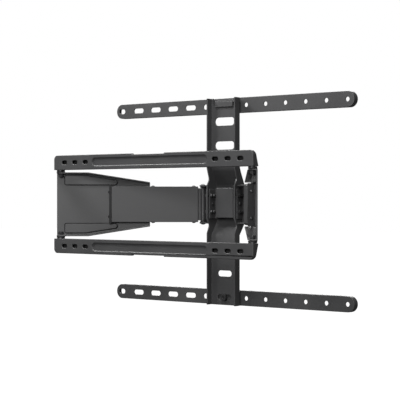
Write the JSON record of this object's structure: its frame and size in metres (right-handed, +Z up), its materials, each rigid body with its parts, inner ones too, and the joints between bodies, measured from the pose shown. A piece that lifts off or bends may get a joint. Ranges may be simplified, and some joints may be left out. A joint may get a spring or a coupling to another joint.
{
  "type": "full motion tv wall mount",
  "caption": "Full motion television wall mount: two slotted wall rails, folding telescopic arms, a tilting head, and an upright strip with cross rails for the television.",
  "frame": {"origin": "on the wall plane, midway between the two wall rails and midway along them", "axes": "+Z up, +X to the right for someone facing the wall, -Y away from the wall toward the television"},
  "size_m": [0.632, 0.228, 0.4316],
  "materials": {
    "powder_coat": "fine-textured matte black powder coat on pressed steel",
    "cover_coat": "satin black powder coat on the slider covers",
    "dark_steel": "black coated steel sliders with a light film of grease",
    "black_zinc": "black zinc plated fasteners and pins",
    "nylon": "black nylon bushes, glides, washers and rail covers"
  },
  "bodies": {
    "wall_frame": {"wall_rail_upper": "powder_coat", "wall_rail_lower": "powder_coat", "rail_cover_upper": "nylon", "rail_cover_lower": "nylon", "right_wall_bolts": "black_zinc", "left_wall_bolts": "black_zinc", "right_wall_washers": "black_zinc", "right_wall_nuts": "black_zinc"},
    "right_arm": {"right_channel": "powder_coat", "right_guide_rails": "powder_coat", "right_carriage": "nylon", "right_carriage_screws": "black_zinc", "right_wall_bushes": "nylon"},
    "right_slider": {"right_slider": "dark_steel", "right_cover": "cover_coat", "right_cover_screws": "black_zinc", "right_end_glide": "nylon", "right_end_screws": "black_zinc"},
    "head": {"head_yoke": "powder_coat", "right_hinge_bracket": "powder_coat", "left_hinge_bracket": "powder_coat", "right_head_pin": "black_zinc", "left_head_pin": "black_zinc", "right_head_washers": "nylon", "left_head_washers": "nylon", "tilt_pivot_bolts": "black_zinc", "tilt_clamp_bolts": "black_zinc", "tilt_clamp_nuts": "black_zinc", "tilt_friction_plates": "nylon"},
    "left_slider": {"left_slider": "dark_steel", "left_cover": "cover_coat", "left_cover_screws": "black_zinc", "left_end_glide": "nylon", "left_end_screws": "black_zinc"},
    "left_arm": {"left_channel": "powder_coat", "left_guide_rails": "powder_coat", "left_carriage": "nylon", "left_carriage_screws": "black_zinc", "left_wall_bushes": "nylon", "left_wall_washers": "black_zinc", "left_wall_nuts": "black_zinc"},
    "tilt_frame": {"tv_strip": "powder_coat"},
    "upper_tv_rail": {"tv_rail_upper": "powder_coat"},
    "lower_tv_rail": {"tv_rail_lower": "powder_coat", "lock_nut": "black_zinc"},
    "lock": {"lock_screw": "black_zinc"}
  },
  "joints": [
    {"name": "right_arm_swing", "type": "hinge", "parent": "wall_frame", "child": "right_arm", "pos_m": [0.255, -0.011, 0], "axis": [0, 0, 1], "range_deg": [-28.81, 0]},
    {"name": "right_arm_slide", "type": "slide", "parent": "right_arm", "child": "right_slider", "axis": [-0.7569, -0.6535, 0], "range_m": [-0.09922, 0.0001]},
    {"name": "right_head_hinge", "type": "hinge", "parent": "right_slider", "child": "head", "pos_m": [0.028, -0.207, 0], "axis": [0, 0, 1], "range_deg": [-0.05, 28.86]},
    {"name": "left_head_hinge", "type": "hinge", "parent": "head", "child": "left_slider", "pos_m": [-0.089, -0.207, 0], "axis": [0, 0, 1], "range_deg": [-0.05, 37.79]},
    {"name": "left_arm_slide", "type": "slide", "parent": "left_slider", "child": "left_arm", "axis": [0.6463, -0.7631, 0], "range_m": [-0.0001, 0.05616]},
    {"name": "tilt", "type": "hinge", "parent": "head", "child": "tilt_frame", "pos_m": [-0.0305, -0.2065, 0.001], "axis": [1, 0, 0], "range_deg": [-5, 10]},
    {"name": "tv_rail_shift", "type": "slide", "parent": "tilt_frame", "child": "upper_tv_rail", "axis": [1, 0, 0], "range_m": [-0.007, 0.007]},
    {"name": "lower_rail_shift", "type": "slide", "parent": "tilt_frame", "child": "lower_tv_rail", "axis": [1, 0, 0], "range_m": [-0.0071, 0.0071]},
    {"name": "lock_screw_turn", "type": "hinge", "parent": "lower_tv_rail", "child": "lock", "pos_m": [-0.0305, -0.21, -0.1942], "axis": [0, 1, 0], "continuous": true}
  ],
  "couplings": [
    {"joint": "right_arm_slide", "follows": "right_arm_swing", "m_per_rad": 0.19693},
    {"joint": "right_head_hinge", "follows": "right_arm_swing", "ratio": -1},
    {"joint": "left_head_hinge", "follows": "right_arm_swing", "ratio": -1.3099},
    {"joint": "left_arm_slide", "follows": "right_arm_swing", "m_per_rad": -0.1113},
    {"joint": "lower_rail_shift", "follows": "tv_rail_shift", "ratio": 1}
  ]
}
